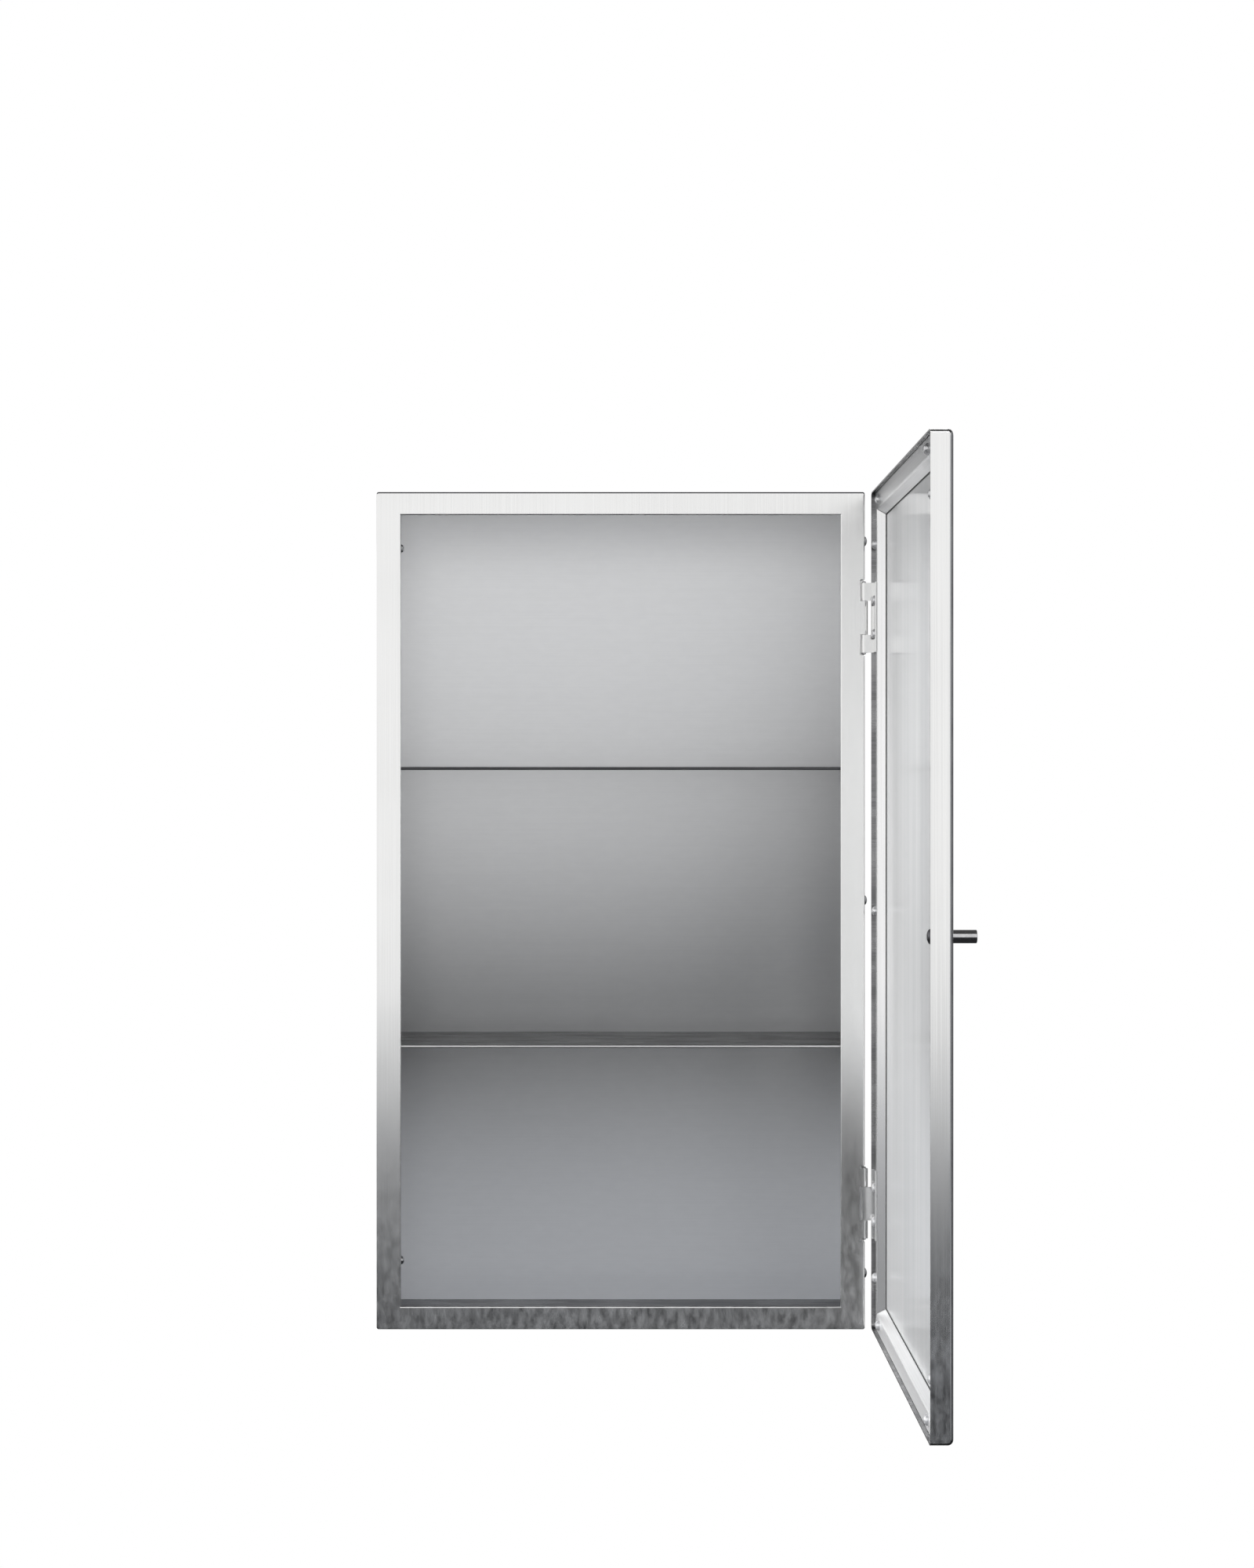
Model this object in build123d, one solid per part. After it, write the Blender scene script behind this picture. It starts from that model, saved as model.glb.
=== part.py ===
# Wall-hung steel medicine cabinet with a mirror door, in millimetres.
# +Z is up, the wall is the plane Y = 0 and the front looks along -Y.
# The origin lies midway between the two hanging keyholes, in the wall plane.
# The door is shaped closed and then swung open about its hinge axis.
import os
from math import atan2, cos, pi, sin, tan

from build123d import *

# Cabinet shell
CABINET_WIDTH = 350.0
CABINET_HEIGHT = 600.0
CABINET_DEPTH = 120.0
SHELL_SHEET = 1.0
SHELL_BEND = 1.2
SHELL_CORNER_RADIUS = 1.5
SIDE_FLANGE = 17.5
END_FLANGE = 16.5
HEM_WIDTH = 5.0
REAR_FLANGE = 12.0
HEM_ROUNDING = 0.9

# Back panel: a shallow pan, open towards the wall
PANEL_SHEET = 1.0
PANEL_RECESS = 9.0

# Hanging rail: a hat section behind the back panel
RAIL_END_CLEARANCE = 8.0
RAIL_SHEET = 1.2
RAIL_WEB = 34.0
RAIL_FOOT = 12.0
KEYHOLE_END_DISTANCE = 25.0
KEYHOLE_RADIUS = 4.5
KEYHOLE_SLOT_RADIUS = 2.5
KEYHOLE_SLOT_LENGTH = 10.0
KEYHOLE_DROP = 55.0

# Shelves
LOWER_SHELF_RISE = 203.5
UPPER_SHELF_DROP = 197.0
SHELF_SHEET = 1.0
SHELF_SETBACK = 0.5
SHELF_HEM = 10.0
SHELF_TURN_DOWN = 12.0
SHELF_CORNER_CLEARANCE = 0.5

# Door tray, with the same outline as the cabinet
DOOR_DEPTH = 14.0
DOOR_SHEET = 1.0
DOOR_FRONT_BEND = 3.5
DOOR_CORNER_RADIUS = 4.0
SMALLEST_BEND = 0.4
DOOR_BORDER = 17.0
DOOR_GAP = 1.5
DOOR_OPEN_ANGLE = 90.0

# Mirror, backing plate and gasket
MIRROR_THICKNESS = 3.0
MIRROR_INSET = 12.5
BACKING_THICKNESS = 0.8
GASKET_THICKNESS = 0.6
GASKET_OUTER_INSET = 15.0
GASKET_LEDGE = 0.6

# Retainer strips
RETAINER_SHEET = 1.0
RETAINER_RECESS = 2.6
RETAINER_EDGE_CLEARANCE = 0.3
RETAINER_FLANGE_END = 13.0
RETAINER_FOOT_INSET = 17.0
RETAINER_BEND = 0.8
MITRE_GAP = 0.3

# Small fasteners and their holes have flat sides, which keeps the model light
FASTENER_SIDES = 12
DOME_SHOULDER_RADIUS = 0.84
DOME_SHOULDER_HEIGHT = 0.6
DOME_CROWN_RADIUS = 0.42
HEXAGON_SIDES = 6

# Retainer screws and their posts
SCREW_INSET = 8.5
SCREW_END_DISTANCE = 38.0
END_STRIP_SCREW_DISTANCE = 32.0
SCREW_HEAD_RADIUS = 3.5
SCREW_HEAD_HEIGHT = 3.2
SCREW_SHANK_RADIUS = 1.5
SCREW_GRIP = 6.0
POST_RADIUS = 2.6
HOLE_CLEARANCE = 0.2
THREAD_CLEARANCE = 0.05

# Hinges
HINGE_LENGTH = 50.0
HINGE_END_DISTANCE = 65.0
HINGE_OUTER_KNUCKLE = 12.7
KNUCKLE_GAP = 0.35
BARREL_RADIUS = 2.7
HINGE_LEAF = 1.2
PIN_RADIUS = 1.4
PIN_CLEARANCE = 0.05
PIN_PROTRUSION = 1.2
PIN_CHAMFER = 0.5
HINGE_BEND = 1.0
HINGE_AXIS_INSET = 0.3
FRAME_LEAF_CLEARANCE = 0.5
DOOR_LEAF_FOOT = 11.5
HINGE_SCREW_PITCH = 24.0
HINGE_SCREW_HEAD_HEIGHT = 2.0
NOTCH_MARGIN = 2.5
NOTCH_INSET = 3.7
NOTCH_CORNER = 1.5
NOTCH_BACK_MARGIN = 0.6

# Stiffening strip on the hinge side and its rivets
STIFFENER_SHEET = 1.5
STIFFENER_WIDTH = 14.0
STIFFENER_SETBACK = 8.0
STIFFENER_END_CLEARANCE = 1.0
RIVET_BOTTOM_DISTANCE = 38.0
RIVET_MIDDLE_RISE = 7.0
RIVET_TOP_DISTANCE = 34.0
RIVET_SHANK_RADIUS = 2.0
RIVET_HEAD_RADIUS = 3.75
RIVET_HEAD_HEIGHT = 1.3
RIVET_TAIL_RADIUS = 3.2
RIVET_TAIL_HEIGHT = 1.0

# Magnetic catches behind the left flange
CATCH_BOTTOM_DISTANCE = 48.5
CATCH_TOP_DISTANCE = 40.0
CATCH_LENGTH = 36.0
CATCH_DEPTH = 12.0
CATCH_WIDTH = 15.0
CATCH_EDGE_CHAMFER = 0.8
STUD_RADIUS = 2.0
NUT_RADIUS = 3.6
NUT_HEX_HEIGHT = 1.4
NUT_DOME_HEIGHT = 1.8

# Knob
KNOB_RADIUS = 4.0
KNOB_LENGTH = 14.5
KNOB_EDGE_DISTANCE = 9.0
KNOB_RISE = 300.0
KNOB_CHAMFER = 0.3
KNOB_SCREW_RADIUS = 2.0
KNOB_SCREW_ENGAGEMENT = 8.5
KNOB_SCREW_TIP_CLEARANCE = 1.0
KNOB_SCREW_HEAD_RADIUS = 4.6
KNOB_SCREW_HEAD_HEIGHT = 2.7
WASHER_RADIUS = 5.0
WASHER_THICKNESS = 1.0
SLEEVE_RADIUS = 3.2

# Places worked out from the sizes above
FLANGE_FRONT = -CABINET_DEPTH
SIDE_X = CABINET_WIDTH / 2
INNER_X = SIDE_X - SHELL_SHEET
PANEL_REAR = -PANEL_RECESS
PANEL_FRONT = PANEL_REAR - PANEL_SHEET
HEM_REAR = FLANGE_FRONT + 2 * SHELL_SHEET
SHELF_FRONT = HEM_REAR + SHELF_SETBACK
AXIS_X = SIDE_X - HINGE_AXIS_INSET
AXIS_Y = FLANGE_FRONT + SHELL_SHEET + BARREL_RADIUS
DOOR_BACK = FLANGE_FRONT - DOOR_GAP
DOOR_MIDDLE = CABINET_HEIGHT / 2
BACKING_SURFACE = DOOR_DEPTH - DOOR_SHEET - MIRROR_THICKNESS - BACKING_THICKNESS
GASKET_SURFACE = BACKING_SURFACE - GASKET_THICKNESS
POST_SEAT = RETAINER_RECESS + RETAINER_SHEET
POST_LENGTH = DOOR_DEPTH - DOOR_SHEET - POST_SEAT
RAIL_LENGTH = 2 * (SIDE_X - REAR_FLANGE - RAIL_END_CLEARANCE)
KEYHOLE_X = RAIL_LENGTH / 2 - KEYHOLE_END_DISTANCE
KEYHOLE_HEIGHT = CABINET_HEIGHT - KEYHOLE_DROP
SHELF_TOPS = {
    "lower_shelf": LOWER_SHELF_RISE,
    "upper_shelf": CABINET_HEIGHT - UPPER_SHELF_DROP,
}
RIVET_HEIGHTS = (
    RIVET_BOTTOM_DISTANCE,
    CABINET_HEIGHT / 2 + RIVET_MIDDLE_RISE,
    CABINET_HEIGHT - RIVET_TOP_DISTANCE,
)
CATCH_HEIGHTS = {
    "lower_catch_magnet": CATCH_BOTTOM_DISTANCE,
    "upper_catch_magnet": CABINET_HEIGHT - CATCH_TOP_DISTANCE,
}
HINGE_CENTRES = {
    "lower_hinge": HINGE_END_DISTANCE + HINGE_LENGTH / 2,
    "upper_hinge": CABINET_HEIGHT - HINGE_END_DISTANCE - HINGE_LENGTH / 2,
}


def block(x_span, y_span, z_span):
    """A box between two planes on each axis."""
    spans = (x_span, y_span, z_span)
    sizes = [high - low for low, high in spans]
    centre = [(high + low) / 2 for low, high in spans]
    return Pos(*centre) * Box(*sizes)


def extruded_outline(plane, points, length):
    """A closed outline on a plane, extruded to both sides of it by half a length."""
    outline = make_face(Polyline(*points, close=True))
    return extrude(plane * outline, amount=length / 2, both=True)


def faceted(steps):
    """A small fastener's form about Z, with flat sides, from (radius, height) pairs."""
    sections = [Pos(0, 0, height) * RegularPolygon(radius, FASTENER_SIDES) for radius, height in steps]
    return loft(sections, ruled=True)


def flat_sided_rod(radius, low, high):
    """A straight rod about Z between two heights, its corners on the radius."""
    return Pos(0, 0, low) * extrude(RegularPolygon(radius, FASTENER_SIDES), amount=high - low)


def flat_sided_hole(radius, reach):
    """A hole about Z, reaching as far to both sides, its flats touching the radius."""
    outline = RegularPolygon(radius, FASTENER_SIDES, major_radius=False)
    return extrude(outline, amount=reach, both=True)


def dome(radius, height):
    """A low domed head that stands on Z = 0."""
    shoulder = (radius * DOME_SHOULDER_RADIUS, height * DOME_SHOULDER_HEIGHT)
    return faceted([(radius, 0), shoulder, (radius * DOME_CROWN_RADIUS, height)])


def domed_screw(head_radius, head_height, shank_radius, shank_length):
    """A dome-headed screw whose head stands on Z = 0 and whose shank hangs below."""
    return dome(head_radius, head_height) + flat_sided_rod(shank_radius, -shank_length, 0)


def edge_place(side):
    """Local frame of one door edge: X along it, Y inward, Z from the back towards the front."""
    places = {
        "top": ((0, DOOR_BACK, CABINET_HEIGHT), (-1, 0, 0)),
        "bottom": ((0, DOOR_BACK, 0), (1, 0, 0)),
        "hinge_side": ((SIDE_X, DOOR_BACK, DOOR_MIDDLE), (0, 0, 1)),
        "knob_side": ((-SIDE_X, DOOR_BACK, DOOR_MIDDLE), (0, 0, -1)),
    }
    origin, along = places[side]
    return Plane(origin=origin, x_dir=along, z_dir=(0, -1, 0)).location


def edge_length(side):
    return CABINET_WIDTH if side in ("top", "bottom") else CABINET_HEIGHT


def retainer_screw_places():
    """Where the retainer screws sit: the edge and the distance along it from its middle."""
    end_strip = SIDE_X - END_STRIP_SCREW_DISTANCE
    side_strip = DOOR_MIDDLE - SCREW_END_DISTANCE
    places = []
    for side in ("top", "bottom"):
        places += [(side, -end_strip), (side, end_strip)]
    for along in (-side_strip, 0.0, side_strip):
        places.append(("hinge_side", along))
    for along in (-side_strip, side_strip):
        places.append(("knob_side", along))
    return places


def hinge_screw_places():
    """Distances along the hinge edge of the screws that hold the door leaves."""
    places = []
    for centre in HINGE_CENTRES.values():
        for step in (-HINGE_SCREW_PITCH / 2, HINGE_SCREW_PITCH / 2):
            places.append(centre - DOOR_MIDDLE + step)
    return places


def knob_along():
    """Distance of the knob along the free edge, whose local X points down."""
    return DOOR_MIDDLE - KNOB_RISE


def make_shell():
    """Folded box with hemmed front flanges, rear flanges and notches for the hinges."""
    outer = block((-SIDE_X, SIDE_X), (FLANGE_FRONT, 0), (0, CABINET_HEIGHT))
    outer = fillet(outer.edges().filter_by(Axis.Y), SHELL_CORNER_RADIUS)
    outer = fillet(outer.faces().sort_by(Axis.Y)[0].edges(), SHELL_BEND)
    hollow = block(
        (-INNER_X, INNER_X),
        (FLANGE_FRONT + SHELL_SHEET, -SHELL_SHEET),
        (SHELL_SHEET, CABINET_HEIGHT - SHELL_SHEET),
    )
    mouth_x = SIDE_X - SIDE_FLANGE
    mouth = block(
        (-mouth_x, mouth_x),
        (FLANGE_FRONT - SHELL_SHEET, HEM_REAR),
        (END_FLANGE, CABINET_HEIGHT - END_FLANGE),
    )
    rear_x = SIDE_X - REAR_FLANGE
    rear = block(
        (-rear_x, rear_x),
        (-2 * SHELL_SHEET, SHELL_SHEET),
        (REAR_FLANGE, CABINET_HEIGHT - REAR_FLANGE),
    )
    hem_x = mouth_x + HEM_WIDTH
    hem = block(
        (-hem_x, hem_x),
        (FLANGE_FRONT + SHELL_SHEET, HEM_REAR),
        (END_FLANGE - HEM_WIDTH, CABINET_HEIGHT - END_FLANGE + HEM_WIDTH),
    )
    shell = outer - hollow - rear + hem - mouth
    rim = shell.edges().filter_by_position(Axis.Y, FLANGE_FRONT, FLANGE_FRONT)
    rim = rim.filter_by(lambda edge: abs(edge.center().X) <= mouth_x)
    rim = rim.filter_by(lambda edge: END_FLANGE <= edge.center().Z <= CABINET_HEIGHT - END_FLANGE)
    shell = fillet(rim, HEM_ROUNDING * SHELL_SHEET)
    for centre in HINGE_CENTRES.values():
        shell -= hinge_notch(centre)
    for height in RIVET_HEIGHTS:
        shell -= rivet_place(height) * flat_sided_hole(RIVET_SHANK_RADIUS + THREAD_CLEARANCE, 2 * SHELL_SHEET)
    return shell


def hinge_notch(centre):
    """Cut for one hinge through the right front corner of the shell."""
    depth = SHELL_SHEET + 2 * BARREL_RADIUS + NOTCH_BACK_MARGIN
    window = RectangleRounded(2 * NOTCH_INSET, HINGE_LENGTH + 2 * NOTCH_MARGIN, NOTCH_CORNER)
    face = Plane(origin=(SIDE_X, FLANGE_FRONT + depth, centre), x_dir=(1, 0, 0), z_dir=(0, -1, 0)) * window
    return extrude(face, amount=2 * depth)


def rivet_place(height):
    """Frame of one rivet: on the outside of the right wall, Z pointing away from it."""
    y = FLANGE_FRONT + STIFFENER_SETBACK + STIFFENER_WIDTH / 2
    return Plane(origin=(SIDE_X, y, height), x_dir=(0, 1, 0), z_dir=(1, 0, 0)).location


def make_back_panel():
    """Pan whose turned-back edges meet the shell's walls and rear flange."""
    z_span = (SHELL_SHEET, CABINET_HEIGHT - SHELL_SHEET)
    pan = block((-INNER_X, INNER_X), (PANEL_FRONT, -SHELL_SHEET), z_span)
    hollow = block(
        (-INNER_X + PANEL_SHEET, INNER_X - PANEL_SHEET),
        (PANEL_REAR, 0),
        (z_span[0] + PANEL_SHEET, z_span[1] - PANEL_SHEET),
    )
    return pan - hollow


def make_hanging_rail():
    """Hat section with two keyholes, its feet on the back panel and its web on the wall."""
    half_web = RAIL_WEB / 2
    foot_edge = half_web + RAIL_FOOT
    half = [
        (foot_edge, PANEL_REAR),
        (foot_edge, PANEL_REAR + RAIL_SHEET),
        (half_web, PANEL_REAR + RAIL_SHEET),
        (half_web, 0),
    ]
    inner = [(half_web - RAIL_SHEET, -RAIL_SHEET), (half_web - RAIL_SHEET, PANEL_REAR)]
    outer_points = [(y, z) for z, y in half] + [(y, -z) for z, y in reversed(half)]
    inner_points = [(y, -z) for z, y in reversed(inner)] + [(y, z) for z, y in inner]
    rail = extruded_outline(Plane.YZ, outer_points + inner_points, RAIL_LENGTH)
    rail = Pos(0, 0, KEYHOLE_HEIGHT) * rail
    for x in (-KEYHOLE_X, KEYHOLE_X):
        rail -= keyhole(x)
    return rail


def keyhole(x):
    """Round entry with a narrow slot above it, cut through the rail's web."""
    entry = Circle(KEYHOLE_RADIUS)
    slot = Pos(0, KEYHOLE_SLOT_LENGTH / 2) * Rectangle(2 * KEYHOLE_SLOT_RADIUS, KEYHOLE_SLOT_LENGTH)
    slot_end = Pos(0, KEYHOLE_SLOT_LENGTH) * Circle(KEYHOLE_SLOT_RADIUS)
    outline = entry + slot + slot_end
    face = Plane(origin=(x, 0, KEYHOLE_HEIGHT), x_dir=(1, 0, 0), z_dir=(0, -1, 0)) * outline
    return extrude(face, amount=2 * RAIL_SHEET, both=True)


def make_shelf(top):
    """Folded shelf: hemmed front edge, ends turned down, a corner clear of the stiffener."""
    y_span = (SHELF_FRONT, PANEL_FRONT)
    shelf = block((-INNER_X, INNER_X), y_span, (top - SHELF_TURN_DOWN, top))
    under = block(
        (-INNER_X + SHELF_SHEET, INNER_X - SHELF_SHEET),
        (SHELF_FRONT - SHELF_SHEET, PANEL_FRONT + SHELF_SHEET),
        (top - 2 * SHELF_TURN_DOWN, top - SHELF_SHEET),
    )
    hem = block(
        (-INNER_X + SHELF_SHEET, INNER_X - SHELF_SHEET),
        (SHELF_FRONT, SHELF_FRONT + SHELF_HEM),
        (top - 2 * SHELF_SHEET, top - SHELF_SHEET),
    )
    ends_open = block(
        (-SIDE_X, SIDE_X),
        (SHELF_FRONT - SHELF_SHEET, SHELF_FRONT + SHELF_HEM),
        (top - 2 * SHELF_TURN_DOWN, top - 2 * SHELF_SHEET),
    )
    shelf = shelf - under + hem - ends_open
    nose = shelf.edges().filter_by(Axis.X).filter_by_position(Axis.Y, SHELF_FRONT, SHELF_FRONT)
    shelf = fillet(nose, HEM_ROUNDING * SHELF_SHEET)
    stiffener_back = FLANGE_FRONT + STIFFENER_SETBACK + STIFFENER_WIDTH
    corner = block(
        (INNER_X - STIFFENER_SHEET - RIVET_TAIL_HEIGHT - SHELF_CORNER_CLEARANCE, SIDE_X),
        (SHELF_FRONT - SHELF_SHEET, stiffener_back + SHELF_CORNER_CLEARANCE),
        (top - 2 * SHELF_TURN_DOWN, top + SHELF_SHEET),
    )
    return shelf - corner


def make_hinge_stiffener():
    """Strip inside the right wall, riveted through it."""
    y_front = FLANGE_FRONT + STIFFENER_SETBACK
    strip = block(
        (INNER_X - STIFFENER_SHEET, INNER_X),
        (y_front, y_front + STIFFENER_WIDTH),
        (
            SHELL_SHEET + STIFFENER_END_CLEARANCE,
            CABINET_HEIGHT - SHELL_SHEET - STIFFENER_END_CLEARANCE,
        ),
    )
    hole = flat_sided_hole(RIVET_SHANK_RADIUS + THREAD_CLEARANCE, 2 * (SHELL_SHEET + STIFFENER_SHEET))
    for height in RIVET_HEIGHTS:
        strip -= rivet_place(height) * hole
    return strip


def make_rivet():
    """Domed head outside the wall, shank through wall and strip, formed tail inside."""
    grip = SHELL_SHEET + STIFFENER_SHEET
    tail_end = -grip - RIVET_TAIL_HEIGHT
    tail = flat_sided_rod(RIVET_TAIL_RADIUS, tail_end, -grip)
    return domed_screw(RIVET_HEAD_RADIUS, RIVET_HEAD_HEIGHT, RIVET_SHANK_RADIUS, grip) + tail


def make_rivets():
    return [rivet_place(height) * make_rivet() for height in RIVET_HEIGHTS]


def catch_place(height):
    """Frame of one catch stud: on the inside of the left wall, Z pointing into the cabinet."""
    y = HEM_REAR + CATCH_DEPTH / 2
    return Plane(origin=(-INNER_X, y, height), x_dir=(0, 1, 0), z_dir=(1, 0, 0)).location


def make_catch_magnet(height):
    """Block behind the left flange with chamfered edges and a hole for its stud."""
    body = Pos(0, 0, CATCH_WIDTH / 2) * Box(CATCH_DEPTH, CATCH_LENGTH, CATCH_WIDTH)
    body = chamfer(body.faces().sort_by(Axis.Z)[-1].edges(), CATCH_EDGE_CHAMFER)
    body -= flat_sided_hole(STUD_RADIUS + HOLE_CLEARANCE, 2 * CATCH_WIDTH)
    return catch_place(height) * body


def make_catch_studs():
    stud = flat_sided_rod(STUD_RADIUS, 0, CATCH_WIDTH + NUT_HEX_HEIGHT)
    return [catch_place(height) * stud for height in CATCH_HEIGHTS.values()]


def make_catch_nuts():
    """Dome nuts that hold the magnets on their studs."""
    hexagon = extrude(RegularPolygon(NUT_RADIUS, HEXAGON_SIDES), amount=NUT_HEX_HEIGHT)
    hexagon -= flat_sided_hole(STUD_RADIUS + THREAD_CLEARANCE, 2 * NUT_HEX_HEIGHT)
    flat_radius = NUT_RADIUS * cos(pi / HEXAGON_SIDES)
    crown = Pos(0, 0, NUT_HEX_HEIGHT) * dome(flat_radius, NUT_DOME_HEIGHT)
    nut = Pos(0, 0, CATCH_WIDTH) * (hexagon + crown)
    return [catch_place(height) * nut for height in CATCH_HEIGHTS.values()]


def make_hinge_pin(centre):
    """Straight pin, pressed into the frame leaf's knuckles, its ends standing out of the barrel."""
    pin = Cylinder(PIN_RADIUS, HINGE_LENGTH + 2 * PIN_PROTRUSION)
    pin = chamfer(pin.edges().filter_by(GeomType.CIRCLE), PIN_CHAMFER)
    return Pos(AXIS_X, AXIS_Y, centre) * pin


def knuckle_spans(outer):
    """Height spans of one leaf's knuckles: the two at the ends, or the one in the middle."""
    half = HINGE_LENGTH / 2
    inner_end = half - HINGE_OUTER_KNUCKLE
    if outer:
        return [(-half, -inner_end), (inner_end, half)]
    return [(-inner_end + KNUCKLE_GAP, inner_end - KNUCKLE_GAP)]


def barrel(centre, span):
    """One knuckle, before the whole leaf is bored for the pin."""
    low, high = span
    return Pos(AXIS_X, AXIS_Y, centre + (low + high) / 2) * Cylinder(BARREL_RADIUS, high - low)


def pin_bore(centre, clearance):
    return Pos(AXIS_X, AXIS_Y, centre) * Cylinder(PIN_RADIUS + clearance, 2 * HINGE_LENGTH)


def door_knuckle_room(centre, outer):
    """Room in the frame leaf for the door leaf's knuckles and tongues."""
    x_span = (AXIS_X - BARREL_RADIUS - KNUCKLE_GAP, AXIS_X + BARREL_RADIUS)
    y_span = (FLANGE_FRONT, AXIS_Y)
    rooms = []
    for low, high in knuckle_spans(not outer):
        past_low = -HINGE_LENGTH if low == -HINGE_LENGTH / 2 else low - KNUCKLE_GAP
        past_high = HINGE_LENGTH if high == HINGE_LENGTH / 2 else high + KNUCKLE_GAP
        rooms.append(block(x_span, y_span, (centre + past_low, centre + past_high)))
    return rooms


def make_frame_leaf(centre, outer):
    """Leaf welded behind the front flange, rolled round the pin at its knuckles."""
    leaf_front = FLANGE_FRONT + SHELL_SHEET
    half = HINGE_LENGTH / 2
    leaf_end = SIDE_X - SIDE_FLANGE + HEM_WIDTH + FRAME_LEAF_CLEARANCE
    leaf = block(
        (leaf_end, AXIS_X),
        (leaf_front, leaf_front + HINGE_LEAF),
        (centre - half, centre + half),
    )
    for room in door_knuckle_room(centre, outer):
        leaf -= room
    for span in knuckle_spans(outer):
        leaf += barrel(centre, span)
    return leaf - pin_bore(centre, 0)


def make_door_leaf(centre, outer):
    """Leaf that runs from the barrel into the door and turns onto the retainer strip."""
    half = HINGE_LENGTH / 2
    plate_x = AXIS_X - BARREL_RADIUS
    foot_front = DOOR_BACK - RETAINER_RECESS
    heights = (centre - half, centre + half)
    leaf = Part()
    for low, high in knuckle_spans(outer):
        tongue = (centre + low, centre + high)
        leaf += block((plate_x, plate_x + HINGE_LEAF), (foot_front, AXIS_Y), tongue)
    plate_edge = FLANGE_FRONT - DOOR_GAP
    leaf += block((plate_x, plate_x + HINGE_LEAF), (foot_front, plate_edge), heights)
    foot_x = (plate_x + HINGE_LEAF - DOOR_LEAF_FOOT, plate_x + HINGE_LEAF)
    leaf += block(foot_x, (foot_front, foot_front + HINGE_LEAF), heights)
    outer_bend = leaf.edges().filter_by(Axis.Z).filter_by_position(Axis.X, foot_x[1], foot_x[1])
    leaf = fillet(outer_bend.sort_by(Axis.Y)[0], HINGE_BEND)
    for span in knuckle_spans(outer):
        leaf += barrel(centre, span)
    leaf -= pin_bore(centre, PIN_CLEARANCE)
    for along in hinge_screw_places():
        leaf -= screw_hole("hinge_side", along, SCREW_SHANK_RADIUS)
    return leaf


def screw_hole(side, along, shank_radius, inset=SCREW_INSET):
    """Clearance hole square to the door, right through it."""
    hole = flat_sided_hole(shank_radius + HOLE_CLEARANCE, 2 * DOOR_DEPTH)
    return edge_place(side) * Pos(along, inset, 0) * hole


def make_door_frame():
    """Folded tray with rounded front edges and a window for the mirror."""
    window = door_slab(DOOR_BORDER, 0, 2 * DOOR_DEPTH)
    knob_hole = screw_hole("knob_side", knob_along(), KNOB_SCREW_RADIUS, KNOB_EDGE_DISTANCE)
    return tray_form(0, 0) - tray_form(DOOR_SHEET, -DOOR_SHEET) - window - knob_hole


def tray_form(inset, back):
    """The tray's outside, or its hollow an inset within it, with bends that follow the outside."""
    form = door_slab(inset, back, DOOR_DEPTH - inset)
    corner = max(DOOR_CORNER_RADIUS - inset, SMALLEST_BEND)
    bend = max(DOOR_FRONT_BEND - inset, SMALLEST_BEND / 2)
    form = fillet(form.edges().filter_by(Axis.Y), corner)
    return fillet(form.faces().sort_by(Axis.Y)[0].edges(), bend)


def door_slab(inset, back, front):
    """A plate parallel to the door, with its edges an inset away from the door's edges."""
    half_width = SIDE_X - inset
    y_span = (DOOR_BACK - front, DOOR_BACK - back)
    return block((-half_width, half_width), y_span, (inset, CABINET_HEIGHT - inset))


def make_mirror():
    back = BACKING_SURFACE + BACKING_THICKNESS
    return door_slab(MIRROR_INSET, back, back + MIRROR_THICKNESS)


def make_mirror_backing():
    return door_slab(MIRROR_INSET, BACKING_SURFACE, BACKING_SURFACE + BACKING_THICKNESS)


def make_gasket():
    """Flat rubber frame under the retainers' feet, showing as a thin ledge inside them."""
    ring = door_slab(GASKET_OUTER_INSET, GASKET_SURFACE, BACKING_SURFACE)
    return ring - door_slab(RETAINER_FOOT_INSET + GASKET_LEDGE, 0, DOOR_DEPTH)


def retainer_profile():
    """Cross-section of a retainer: flange, bend and slanted wall, with its foot on the gasket."""
    back = RETAINER_RECESS
    edge = DOOR_SHEET
    slope = atan2(GASKET_SURFACE - back, RETAINER_FOOT_INSET - RETAINER_FLANGE_END)
    foot_width = RETAINER_SHEET / sin(slope)
    inner_bend = RETAINER_FLANGE_END - RETAINER_SHEET * tan(slope / 2)
    points = [
        (edge, back),
        (RETAINER_FLANGE_END, back),
        (RETAINER_FOOT_INSET, GASKET_SURFACE),
        (RETAINER_FOOT_INSET - foot_width, GASKET_SURFACE),
        (inner_bend, back + RETAINER_SHEET),
        (edge, back + RETAINER_SHEET),
    ]
    profile = make_face(Polyline(*points, close=True))
    outer_corner = profile.vertices().sort_by_distance(points[1])[0]
    profile = fillet(outer_corner, RETAINER_BEND + RETAINER_SHEET)
    inner_corner = profile.vertices().sort_by_distance(points[4])[0]
    return fillet(inner_corner, RETAINER_BEND)


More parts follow.
